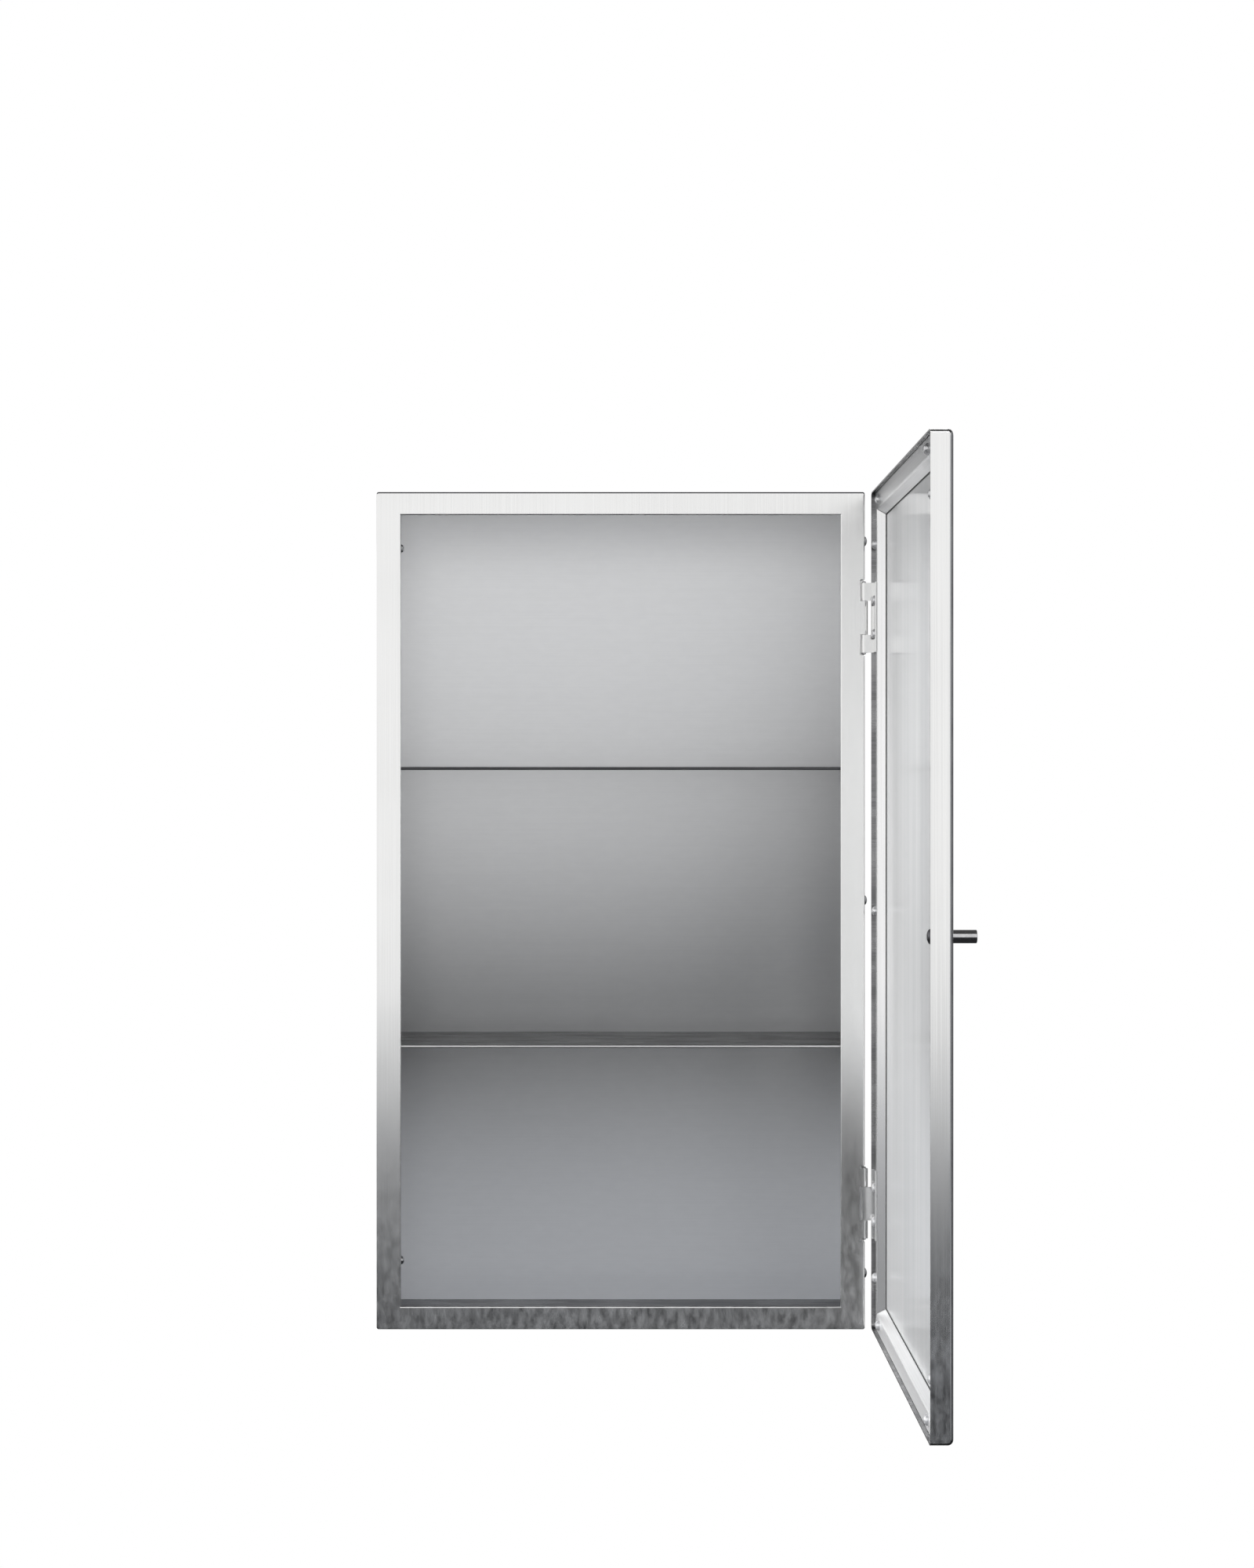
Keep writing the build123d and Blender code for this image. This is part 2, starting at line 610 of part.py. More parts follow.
def make_retainer(side):
    """One retainer strip, mitred at both ends and drilled for its screws."""
    length = edge_length(side)
    strip = extrude(Plane.YZ * retainer_profile(), amount=length / 2, both=True)
    outer_half = length / 2 - MITRE_GAP
    depth = RETAINER_FOOT_INSET + RETAINER_SHEET
    mitre = [(-outer_half, 0), (outer_half, 0), (outer_half - depth, depth), (depth - outer_half, depth)]
    strip &= extruded_outline(Plane.XY, mitre, 2 * DOOR_DEPTH)
    strip = edge_place(side) * strip
    strip &= tray_form(DOOR_SHEET + RETAINER_EDGE_CLEARANCE, 0)
    for place_side, along in retainer_screw_places():
        if place_side == side:
            strip -= screw_hole(side, along, SCREW_SHANK_RADIUS)
    if side == "hinge_side":
        for along in hinge_screw_places():
            strip -= screw_hole(side, along, SCREW_SHANK_RADIUS)
    if side == "knob_side":
        strip -= screw_hole(side, knob_along(), KNOB_SCREW_RADIUS, KNOB_EDGE_DISTANCE)
    return strip


def screw_set(places, seat, head_height):
    """Dome-headed screws whose heads sit at a depth below the door's back edge."""
    screw = domed_screw(SCREW_HEAD_RADIUS, head_height, SCREW_SHANK_RADIUS, SCREW_GRIP)
    inward = Rot(180, 0, 0)
    return [edge_place(side) * Pos(along, SCREW_INSET, seat) * inward * screw for side, along in places]


def post_set(places):
    """Tapped hexagonal posts between the door's front border and the retainers."""
    post = hexagon_sleeve(POST_RADIUS, SCREW_SHANK_RADIUS + THREAD_CLEARANCE, POST_LENGTH)
    return [edge_place(side) * Pos(along, SCREW_INSET, POST_SEAT) * post for side, along in places]


def hexagon_sleeve(radius, bore_radius, length):
    """A hexagonal spacer on Z = 0 with a bore right through it."""
    sleeve = extrude(RegularPolygon(radius, HEXAGON_SIDES), amount=length)
    return sleeve - flat_sided_hole(bore_radius, 2 * length)


def hinge_places():
    return [("hinge_side", along) for along in hinge_screw_places()]


def knob_place(depth):
    """Frame on the knob's axis at a depth below the door's back edge, Z towards the front."""
    return edge_place("knob_side") * Pos(knob_along(), KNOB_EDGE_DISTANCE, depth)


def make_knob():
    """Polished cylinder with a chamfered end and a tapped hole in its base."""
    knob = Pos(0, 0, KNOB_LENGTH / 2) * Cylinder(KNOB_RADIUS, KNOB_LENGTH)
    knob = chamfer(knob.faces().sort_by(Axis.Z)[-1].edges(), KNOB_CHAMFER)
    hole = KNOB_SCREW_ENGAGEMENT + KNOB_SCREW_TIP_CLEARANCE
    knob -= flat_sided_hole(KNOB_SCREW_RADIUS + THREAD_CLEARANCE, hole)
    return knob_place(DOOR_DEPTH) * knob


def make_knob_screw():
    seat = RETAINER_RECESS - WASHER_THICKNESS
    shank = DOOR_DEPTH - seat + KNOB_SCREW_ENGAGEMENT
    screw = domed_screw(KNOB_SCREW_HEAD_RADIUS, KNOB_SCREW_HEAD_HEIGHT, KNOB_SCREW_RADIUS, shank)
    return knob_place(seat) * Rot(180, 0, 0) * screw


def make_knob_washer():
    washer = Pos(0, 0, WASHER_THICKNESS / 2) * Cylinder(WASHER_RADIUS, WASHER_THICKNESS)
    washer -= flat_sided_hole(KNOB_SCREW_RADIUS + HOLE_CLEARANCE, 2 * WASHER_THICKNESS)
    return knob_place(RETAINER_RECESS - WASHER_THICKNESS) * washer


def make_knob_sleeve():
    sleeve = hexagon_sleeve(SLEEVE_RADIUS, KNOB_SCREW_RADIUS + HOLE_CLEARANCE, POST_LENGTH)
    return knob_place(POST_SEAT) * sleeve


def cabinet_pieces():
    pieces = {
        "shell": make_shell(),
        "back_panel": make_back_panel(),
        "hanging_rail": make_hanging_rail(),
        "hinge_stiffener": make_hinge_stiffener(),
        "stiffener_rivets": make_rivets(),
        "catch_studs": make_catch_studs(),
        "catch_nuts": make_catch_nuts(),
    }
    for name, top in SHELF_TOPS.items():
        pieces[name] = make_shelf(top)
    for name, height in CATCH_HEIGHTS.items():
        pieces[name] = make_catch_magnet(height)
    for name, centre in HINGE_CENTRES.items():
        pieces[f"{name}_frame_leaf"] = make_frame_leaf(centre, name == "lower_hinge")
        pieces[f"{name}_pin"] = make_hinge_pin(centre)
    return pieces


def door_pieces():
    """The door's pieces, shaped with the door closed."""
    pieces = {
        "door_frame": make_door_frame(),
        "mirror": make_mirror(),
        "mirror_backing": make_mirror_backing(),
        "glazing_gasket": make_gasket(),
        "retainer_screws": screw_set(retainer_screw_places(), RETAINER_RECESS, SCREW_HEAD_HEIGHT),
        "retainer_posts": post_set(retainer_screw_places()),
        "hinge_screws": screw_set(hinge_places(), RETAINER_RECESS - HINGE_LEAF, HINGE_SCREW_HEAD_HEIGHT),
        "hinge_posts": post_set(hinge_places()),
        "knob": make_knob(),
        "knob_screw": make_knob_screw(),
        "knob_washer": make_knob_washer(),
        "knob_sleeve": make_knob_sleeve(),
    }
    for side in ("top", "bottom", "hinge_side", "knob_side"):
        pieces[f"{side}_retainer"] = make_retainer(side)
    for name, centre in HINGE_CENTRES.items():
        pieces[f"{name}_door_leaf"] = make_door_leaf(centre, name == "upper_hinge")
    return pieces


def write_piece(name, piece, place):
    """Writes one node: a single solid, or a group of like ones."""
    solids = piece if isinstance(piece, list) else [piece]
    placed = [place * solid for solid in solids]
    shape = placed[0] if len(placed) == 1 else Compound(children=placed)
    export_step(shape, f"parts/{name}.step")


def main():
    os.makedirs("parts", exist_ok=True)
    hung = Pos(0, 0, -KEYHOLE_HEIGHT)
    axis = Pos(AXIS_X, AXIS_Y, 0)
    opened = axis * Rot(0, 0, DOOR_OPEN_ANGLE) * axis.inverse()
    for name, piece in cabinet_pieces().items():
        write_piece(name, piece, hung)
    for name, piece in door_pieces().items():
        write_piece(name, piece, hung * opened)


main()
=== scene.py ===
import math

import bmesh
import bpy
import numpy as np
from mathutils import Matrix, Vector


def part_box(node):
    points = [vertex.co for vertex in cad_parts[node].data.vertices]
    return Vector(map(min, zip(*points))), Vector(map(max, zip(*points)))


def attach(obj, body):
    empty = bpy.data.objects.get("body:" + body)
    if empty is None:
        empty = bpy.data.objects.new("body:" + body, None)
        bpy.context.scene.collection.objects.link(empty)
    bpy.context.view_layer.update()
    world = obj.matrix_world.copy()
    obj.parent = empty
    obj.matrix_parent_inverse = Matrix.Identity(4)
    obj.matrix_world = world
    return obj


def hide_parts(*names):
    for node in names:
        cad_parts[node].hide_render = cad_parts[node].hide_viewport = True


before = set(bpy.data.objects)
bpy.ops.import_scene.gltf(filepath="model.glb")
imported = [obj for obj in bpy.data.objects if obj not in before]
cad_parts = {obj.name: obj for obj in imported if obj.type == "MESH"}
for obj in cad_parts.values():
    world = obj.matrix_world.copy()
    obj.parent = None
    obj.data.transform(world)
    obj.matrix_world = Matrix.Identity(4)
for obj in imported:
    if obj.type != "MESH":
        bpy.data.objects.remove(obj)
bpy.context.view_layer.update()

# Camera, in metres and in pixels of the 1600 by 2000 picture
IMAGE_LONG_SIDE = 2000
FOCAL_PIXELS = 3458.0
SENSOR = 36.0
CAMERA_PLACE = (-0.0140, -2.0620, -0.1570)
CENTRE_RIGHT_OF_AXIS = 33.0
CENTRE_ABOVE_AXIS = 5.0

# Depth below a folded box's outside from which a face counts as its inside
SKIN = 0.0006

# Depth of the shelves' rounded front edges
SHELF_NOSE = 0.001

# Height of the bend along the shell's top front edge
TOP_BEND = 0.0015

# Limits for the way that a face looks, as the part of its normal along Z or Y
LOOKS_UP = 0.5
BENDS_UP = 0.25
LOOKS_FORWARD = -0.1
TOP_BEND_LOOKS = (0.1, 0.98)

# Turned fasteners, which stand in for the flat-sided solids
TURNED_SIDES = 40
DOME_STEPS = 9
DOME_COLLAR = 0.2
SMOOTH_LIMIT = math.radians(35)
WELD = 1e-6
RING_TOLERANCE = 2e-5

# The rivets' heads stand further out than in the solids, so that they show past the flange
RIVET_RISE = 0.0016

# The two colours of each surface, lighter and darker
BRUSHED = ((0.86, 0.86, 0.855, 1.0), (0.82, 0.82, 0.815, 1.0))
SATIN = ((0.745, 0.750, 0.760, 1.0), (0.727, 0.732, 0.742, 1.0))
SHELF = ((0.25, 0.25, 0.25, 1.0), (0.10, 0.10, 0.10, 1.0))
# Painted shade: a dark grey for the shell's inside floor and for the upper shelf's front edge
PAINTED_SHADE = ((0.16, 0.16, 0.165, 1.0), (0.08, 0.08, 0.085, 1.0))
# Painted shade: a darker grey for the inside faces of the door's frame
PAINTED_SHADE_LIP = ((0.34, 0.34, 0.345, 1.0), (0.22, 0.22, 0.225, 1.0))
# Painted highlight: a near white for the lower shelf's front edge
EDGE = ((0.97, 0.97, 0.97, 1.0), (0.88, 0.88, 0.88, 1.0))
# Painted reflection: a dark grey on the bend along the shell's top front edge, standing in for the dark
# surroundings that it reflects
PAINTED_DARK_BEND = ((0.20, 0.20, 0.21, 1.0), (0.08, 0.08, 0.09, 1.0))
STRIP = ((0.93, 0.93, 0.93, 1.0), (0.86, 0.86, 0.86, 1.0))
PANE = ((0.98, 0.985, 0.985, 1.0), (0.82, 0.83, 0.84, 1.0))
SCREW = ((0.84, 0.84, 0.85, 1.0), (0.74, 0.74, 0.75, 1.0))
POLISHED = ((0.62, 0.62, 0.63, 1.0), (0.50, 0.50, 0.51, 1.0))
PLAIN = ((0.50, 0.50, 0.49, 1.0), (0.40, 0.40, 0.40, 1.0))
GLASS = ((0.86, 0.88, 0.88, 1.0), (0.82, 0.85, 0.85, 1.0))
RUBBER = ((0.06, 0.06, 0.06, 1.0), (0.035, 0.035, 0.035, 1.0))
HOUSING = ((0.15, 0.15, 0.16, 1.0), (0.11, 0.11, 0.12, 1.0))
FLOOR = ((0.82, 0.82, 0.82, 1.0), (0.82, 0.82, 0.82, 1.0))

# Noise: the span that most of its values lie in, and the spans that they are spread over
NOISE_SPAN = (0.3, 0.7)
RISING = (0.0, 1.0)
FALLING = (1.0, 0.0)

# Grain: stretched noise, in waves per metre along and across the brushing
GRAIN = (6.0, 1400.0)
GRAIN_DETAIL = 2.0
GRAIN_BUMP = 0.012
GRAIN_HEIGHT = 0.0002

# Wear: cloudy patches, in patches per metre along and across the brushing, and their depth about the mean
WEAR = (9.0, 9.0)
PANE_WEAR = (0.7, 55.0)
SHELF_WEAR = (20.0, 50.0)
SATIN_WEAR = (90.0, 220.0)
WEAR_DETAIL = 3.0
MEAN_WEAR = 0.5
PATCHES = 0.2

# Haze: marks that scatter light, in patches per metre, and the heights between which they fade upwards
HAZE_SCALE = (210.0, 160.0, 90.0)
HAZE_DETAIL = 4.0
HAZE_ROUGHNESS = 0.6
HAZE_HEIGHTS = (-0.52, -0.36)

# Waves of the sheet, in waves per metre along and across the brushing
WAVES = (14.0, 70.0)
PANE_WAVES = (1.0, 45.0)
WAVE_DETAIL = 1.0
WAVE_HEIGHT = 0.001

# Mottling of the surfaces that have no grain
MOTTLE_DETAIL = 3.0
MOTTLE_BUMP = 0.08
MOTTLE_HEIGHT = 0.0002

# Looks that several sheets share
EDGE_LOOK = {"roughness": (0.30, 0.36), "grain_axis": "X", "grain_bump": 0.02, "waves": 0.1}
FOLDED_LOOK = {"grain_axis": "X", "grain_bump": 0.01, "waves": 0.3, "wear_scale": SHELF_WEAR, "patches": 0.3}

# Light of the studio
WHITE = (1.0, 1.0, 1.0, 1.0)
COOL = (0.95, 0.985, 1.05)
AMBIENT_STRENGTH = 0.15
LAMP_RADIUS = 0.01

# The floor, and the lamp that lights it from under the cabinet
FLOOR_HEIGHT = -1.75
FLOOR_SPAN = (-1.5, 1.5)
FLOOR_LAMP_HEIGHT = -0.85
FLOOR_LAMP_SIZE = 2.4
FLOOR_LAMP_POWER = 30.0

# The ground that the steel reflects: its grey levels by the distance from the cabinet
GROUND_HEIGHT = -1.3
GROUND_REACH = 14.0
GROUND_LEVELS = [(0.0, 0.03), (4.8, 0.04), (6.5, 0.2), (8.5, 0.62), (11.0, 0.95), (14.0, 1.0)]

# The card on the right, with its grey levels by height
SHADED_SPAN = (-1.2, 2.0)
SHADED_CARD = {"x": 2.6, "y_span": (-3.0, 2.5), "z_span": SHADED_SPAN}
SHADED_LEVELS = [(-1.2, 0.24), (-0.5, 0.32), (0.3, 0.45), (2.0, 0.9)]

# Cards of one grey: overhead, behind and above the cabinet, and behind the door
ABOVE_CARD = {"z": 2.2, "x_span": (-3.0, 3.0), "y_span": (-2.6, 2.5)}
ABOVE_LEVEL = 0.09
WALL_CARD = {"y": 0.3, "x_span": (-0.6, 0.15), "z_span": (0.06, 0.9)}
WALL_LEVEL = 0.28
BEHIND_CARD = {"y": 1.2, "x_span": (0.15, 2.6), "z_span": (-1.2, 2.0)}
BEHIND_LEVEL = 0.24

# A dark card over the lower part of the open door's back, seen in reflections alone as a painted dark
# reflection in place of the door's; and the heights between which it fades upwards
BESIDE_CARD = {"x": 0.178, "y_span": (-0.46, -0.14), "z_span": (-0.62, -0.25)}
BESIDE_LEVEL = 0.10
BESIDE_FADE = (-0.46, -0.32)

# The inside is lit from the camera's place, so that no shadow shows beside an edge
EYE = CAMERA_PLACE

# Flags before the lamps at the eye: their share of the way to the back panel, and what they shade of it
PANEL_PLACE = -0.01
FLAG_SHARE = 0.128
FLAGS = {
    "top_flag": {"x_span": (-0.6, 0.3), "z_span": (0.064, 0.5)},
    "left_flag": {"x_span": (-0.6, -0.207), "z_span": (-1.0, 0.064)},
}

# Spots: place, aim, cone in degrees, power in watts and how far the cone is stretched sideways
SPOTS = {
    "key": {"place": EYE, "target": (-0.083, 0.0, 0.122), "cone": 26.0, "power": 105.0, "wide": 1.1},
    "right_fill": {"place": EYE, "target": (0.165, 0.0, -0.34), "cone": 14.0, "power": 9.0, "wide": 0.3},
    "low": {
        "place": EYE, "target": (-0.02, 0.0, -0.62), "cone": 15.0, "power": 55.0, "wide": 3.2,
        "colour": COOL,
    },
    "below": {"place": (-0.35, -0.3, -1.3), "target": (0.18, -0.3, 0.04), "cone": 14.0, "power": 45.0},
    "above": {"place": (0.3, -0.6, 1.2), "target": (0.19, -0.46, 0.055), "cone": 7.0, "power": 160.0},
    "left_high": {"place": (-1.4, -0.3, 0.7), "target": (0.18, -0.3, -0.54), "cone": 34.0, "power": 160.0},
    "left_mid": {"place": (-1.4, -0.3, -0.55), "target": (0.18, -0.3, -0.52), "cone": 19.0, "power": 60.0},
}


def new_material(name):
    """A node material that holds its output alone."""
    material = bpy.data.materials.new(name)
    material.use_nodes = True
    tree = material.node_tree
    tree.nodes.clear()
    output = tree.nodes.new("ShaderNodeOutputMaterial")
    return material, tree, output.inputs["Surface"]


def new_surface(name):
    """A node material with a shader, linked to its output."""
    material, tree, surface = new_material(name)
    shader = tree.nodes.new("ShaderNodeBsdfPrincipled")
    tree.links.new(shader.outputs["BSDF"], surface)
    return material, tree, shader


def coordinate(tree):
    """A place on the object, whole and as its X, Y and Z."""
    coordinates = tree.nodes.new("ShaderNodeTexCoord")
    split = tree.nodes.new("ShaderNodeSeparateXYZ")
    tree.links.new(coordinates.outputs["Object"], split.inputs["Vector"])
    return coordinates.outputs["Object"], split.outputs


def stretched_noise(tree, scale, detail, roughness=0.5):
    """Noise in the object's own coordinates, with its own scale on each axis."""
    coordinates = tree.nodes.new("ShaderNodeTexCoord")
    mapping = tree.nodes.new("ShaderNodeMapping")
    mapping.inputs["Scale"].default_value = scale
    noise = tree.nodes.new("ShaderNodeTexNoise")
    noise.inputs["Scale"].default_value = 1.0
    noise.inputs["Detail"].default_value = detail
    noise.inputs["Roughness"].default_value = roughness
    tree.links.new(coordinates.outputs["Object"], mapping.inputs["Vector"])
    tree.links.new(mapping.outputs["Vector"], noise.inputs["Vector"])
    return noise.outputs["Fac"]


def axis_scale(axis, along, across):
    """Noise scales that differ along one axis."""
    return tuple(along if name == axis else across for name in "XYZ")


def remap(tree, value, span, results, interpolation="LINEAR"):
    """Spreads the values of a span over a range of results."""
    spread = tree.nodes.new("ShaderNodeMapRange")
    spread.interpolation_type = interpolation
    for end, number in zip(("From Min", "From Max", "To Min", "To Max"), (*span, *results)):
        spread.inputs[end].default_value = number
    tree.links.new(value, spread.inputs["Value"])
    return spread.outputs["Result"]


def fading_up(tree, heights):
    """A share that falls smoothly from one to nothing between two heights."""
    _, place = coordinate(tree)
    return remap(tree, place["Z"], heights, FALLING, "SMOOTHSTEP")


def calculated(tree, operation, first, second):
    """The result of an operation on two values, each a node's output or a number."""
    node = tree.nodes.new("ShaderNodeMath")
    node.operation = operation
    for socket, value in zip(node.inputs, (first, second)):
        if isinstance(value, float):
            socket.default_value = value
        else:
            tree.links.new(value, socket)
    return node.outputs["Value"]


def mixed_colour(tree, factor, first, second):
    """A colour between two, chosen by a factor."""
    mix = tree.nodes.new("ShaderNodeMix")
    mix.data_type = "RGBA"
    mix.inputs["A"].default_value = first
    mix.inputs["B"].default_value = second
    tree.links.new(factor, mix.inputs["Factor"])
    return mix.outputs["Result"]


def bumped(tree, height, strength, distance, ground=None):
    """A surface roughened by a height, on top of another such surface if there is one."""
    bump = tree.nodes.new("ShaderNodeBump")
    bump.inputs["Strength"].default_value = strength
    bump.inputs["Distance"].default_value = distance
    tree.links.new(height, bump.inputs["Height"])
    if ground:
        tree.links.new(ground, bump.inputs["Normal"])
    return bump.outputs["Normal"]


def mottle(tree, shader, value, colours, roughness):
    """Lets a noise choose the colour and the roughness of a surface."""
    share = remap(tree, value, NOISE_SPAN, RISING)
    tree.links.new(mixed_colour(tree, share, *colours), shader.inputs["Base Color"])
    tree.links.new(remap(tree, value, NOISE_SPAN, roughness), shader.inputs["Roughness"])


def hazy(tree, metallic, haze):
    """A metal share that cloudy marks lower near the sheet's lower end."""
    noise = stretched_noise(tree, HAZE_SCALE, HAZE_DETAIL, HAZE_ROUGHNESS)
    cloud = remap(tree, noise, NOISE_SPAN, (0.0, haze))
    marks = calculated(tree, "MULTIPLY", cloud, fading_up(tree, HAZE_HEIGHTS))
    return calculated(tree, "SUBTRACT", metallic, marks)


def metal(
    name, colours, roughness, grain_axis, grain_bump=GRAIN_BUMP, anisotropy=0.0, metallic=1.0, haze=0.0,
    waves=0.0, wave_scale=WAVES, wear_scale=WEAR, patches=PATCHES,
):
    """Sheet metal with grain along one axis, cloudy wear, waves, and a roughness that follows the grain."""
    material, tree, shader = new_surface(name)
    grain = stretched_noise(tree, axis_scale(grain_axis, *GRAIN), GRAIN_DETAIL)
    cloud = stretched_noise(tree, axis_scale(grain_axis, *wear_scale), WEAR_DETAIL)
    wear = remap(tree, cloud, NOISE_SPAN, (MEAN_WEAR - patches, MEAN_WEAR + patches))
    worn_grain = calculated(tree, "MULTIPLY", grain, wear)
    mottle(tree, shader, calculated(tree, "MULTIPLY", worn_grain, 1 / MEAN_WEAR), colours, roughness)
    wavy = None
    if waves:
        wave = stretched_noise(tree, axis_scale(grain_axis, *wave_scale), WAVE_DETAIL)
        wavy = bumped(tree, wave, waves, WAVE_HEIGHT)
    tree.links.new(bumped(tree, grain, grain_bump, GRAIN_HEIGHT, wavy), shader.inputs["Normal"])
    shader.inputs["Metallic"].default_value = metallic
    if haze:
        tree.links.new(hazy(tree, metallic, haze), shader.inputs["Metallic"])
    if anisotropy:
        shader.inputs["Anisotropic"].default_value = anisotropy
        tangent = tree.nodes.new("ShaderNodeTangent")
        tangent.direction_type = "RADIAL"
        tangent.axis = grain_axis
        tree.links.new(tangent.outputs["Tangent"], shader.inputs["Tangent"])
    return material


def plain(name, colours, roughness, spots, metallic=0.0):
    """A plain surface with a fine mottled roughness and bump, in spots per metre."""
    material, tree, shader = new_surface(name)
    noise = stretched_noise(tree, (spots, spots, spots), MOTTLE_DETAIL)
    mottle(tree, shader, noise, colours, roughness)
    tree.links.new(bumped(tree, noise, MOTTLE_BUMP, MOTTLE_HEIGHT), shader.inputs["Normal"])
    shader.inputs["Metallic"].default_value = metallic
    return material


# Sheets
brushed_up = metal(
    "brushed_up", BRUSHED, roughness=(0.15, 0.20), grain_axis="Z", anisotropy=0.7, waves=0.1, haze=0.27,
)
strip_up = metal("strip_up", STRIP, roughness=(0.14, 0.18), grain_axis="Z", anisotropy=0.6, metallic=0.8)
strip_deep = metal(
    "strip_deep", STRIP, roughness=(0.30, 0.36), grain_axis="Y", anisotropy=0.8, metallic=0.55,
)
painted_highlight_nose = metal("painted_highlight_nose", EDGE, **EDGE_LOOK)
painted_dark_bend = metal("painted_dark_bend", PAINTED_DARK_BEND, **EDGE_LOOK)
painted_shade_nose = metal("painted_shade_nose", PAINTED_SHADE, **EDGE_LOOK)
painted_shade_floor = metal("painted_shade_floor", PAINTED_SHADE, roughness=(0.26, 0.34), **FOLDED_LOOK)
painted_shade_lip = metal("painted_shade_lip", PAINTED_SHADE_LIP, roughness=(0.26, 0.34), **FOLDED_LOOK)
satin = metal(
    "satin", SATIN, roughness=(0.30, 0.34), grain_axis="X", grain_bump=0.004, metallic=0.15,
    wear_scale=SATIN_WEAR,
)
shelf = metal("shelf", SHELF, roughness=(0.24, 0.30), **FOLDED_LOOK)
pane = metal(
    "pane", PANE, roughness=(0.14, 0.19), grain_axis="Z", anisotropy=0.8, metallic=0.45,
    waves=0.2, wave_scale=PANE_WAVES, wear_scale=PANE_WEAR,
)
soft_edge = metal("soft_edge", BRUSHED, roughness=(0.5, 0.56), grain_axis="X", metallic=0.4)

# Fasteners, glass, rubber and plastic
dark_screw = plain("dark_screw", HOUSING, roughness=(0.3, 0.4), spots=400.0, metallic=1.0)
screw_steel = plain("screw_steel", SCREW, roughness=(0.18, 0.26), spots=400.0, metallic=0.6)
polished = plain("polished", POLISHED, roughness=(0.12, 0.2), spots=400.0, metallic=1.0)
plain_steel = plain("plain_steel", PLAIN, roughness=(0.4, 0.5), spots=200.0, metallic=1.0)
silvered = plain("silvered", GLASS, roughness=(0.02, 0.04), spots=60.0, metallic=1.0)
rubber = plain("rubber", RUBBER, roughness=(0.6, 0.75), spots=600.0)
housing = plain("housing", HOUSING, roughness=(0.45, 0.6), spots=500.0)

# What each node is made of; those that aren't named here are polished
MATERIALS = {
    "shell": brushed_up,
    "back_panel": satin,
    "upper_shelf": shelf,
    "lower_shelf": shelf,
    "hanging_rail": plain_steel,
    "hinge_stiffener": brushed_up,
    "door_frame": brushed_up,
    "mirror": silvered,
    "mirror_backing": pane,
    "glazing_gasket": rubber,
    "top_retainer": strip_deep,
    "bottom_retainer": strip_deep,
    "hinge_side_retainer": strip_up,
    "knob_side_retainer": strip_up,
    "upper_hinge_frame_leaf": brushed_up,
    "lower_hinge_frame_leaf": brushed_up,
    "upper_hinge_door_leaf": brushed_up,
    "lower_hinge_door_leaf": brushed_up,
    "upper_catch_magnet": housing,
    "lower_catch_magnet": housing,
    "retainer_posts": plain_steel,
    "hinge_posts": plain_steel,
    "knob_sleeve": plain_steel,
    "catch_studs": plain_steel,
}
for name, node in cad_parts.items():
    node.data.materials.clear()
    node.data.materials.append(MATERIALS.get(name, polished))


def dress_faces(name, material, chosen):
    """Gives the chosen faces of a node a material of their own."""
    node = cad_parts[name]
    node.data.materials.append(material)
    for face in node.data.polygons:
        if chosen(node.matrix_world @ face.center, face.normal):
            face.material_index = len(node.data.materials) - 1


def inside(name):
    """A test for the faces inside a folded box."""
    low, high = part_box(name)
    return lambda place, normal: all(
        low[axis] + SKIN < place[axis] < high[axis] - SKIN for axis in range(3)
    )


def floor_of(name):
    """A test for the inside faces of a folded box that look up."""
    within = inside(name)
    return lambda place, normal: within(place, normal) and normal.z > LOOKS_UP


def top_of(name):
    """A test for the faces of a folded box's top and of the bends along it."""
    within = inside(name)
    return lambda place, normal: not within(place, normal) and normal.z > BENDS_UP


def front_of(name, depth):
    """A test for the faces at a node's front."""
    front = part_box(name)[0].y + depth
    return lambda place, normal: place.y < front and normal.y < LOOKS_FORWARD


def top_bend_of(name):
    """A test for the faces of the bend along a folded box's top front edge."""
    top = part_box(name)[1].z - TOP_BEND
    least, most = TOP_BEND_LOOKS
    return lambda place, normal: place.z > top and normal.y < LOOKS_FORWARD and least < normal.z < most


# The shell's inside floor gets painted shade
dress_faces("shell", painted_shade_floor, floor_of("shell"))
# The bend along the shell's top front edge gets a painted dark reflection
dress_faces("shell", painted_dark_bend, top_bend_of("shell"))
# The inside faces of the door's frame get painted shade
dress_faces("door_frame", painted_shade_lip, inside("door_frame"))
dress_faces("door_frame", soft_edge, top_of("door_frame"))
# The lower shelf's front edge gets a painted highlight
dress_faces("lower_shelf", painted_highlight_nose, front_of("lower_shelf", SHELF_NOSE))
# The upper shelf's front edge gets painted shade
dress_faces("upper_shelf", painted_shade_nose, front_of("upper_shelf", SHELF_NOSE))


def loose_pieces(name):
    """The separate pieces of a node, each as an array of its points."""
    mesh = bmesh.new()
    mesh.from_mesh(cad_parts[name].data)
    bmesh.ops.remove_doubles(mesh, verts=mesh.verts, dist=WELD)
    found = set()
    pieces = []
    for start in mesh.verts:
        if start in found:
            continue
        found.add(start)
        piece = [start]
        for vertex in piece:
            near = [edge.other_vert(vertex) for edge in vertex.link_edges]
            fresh = [other for other in near if other not in found]
            found.update(fresh)
            piece.extend(fresh)
        pieces.append(np.array([vertex.co for vertex in piece]))
    mesh.free()
    return pieces


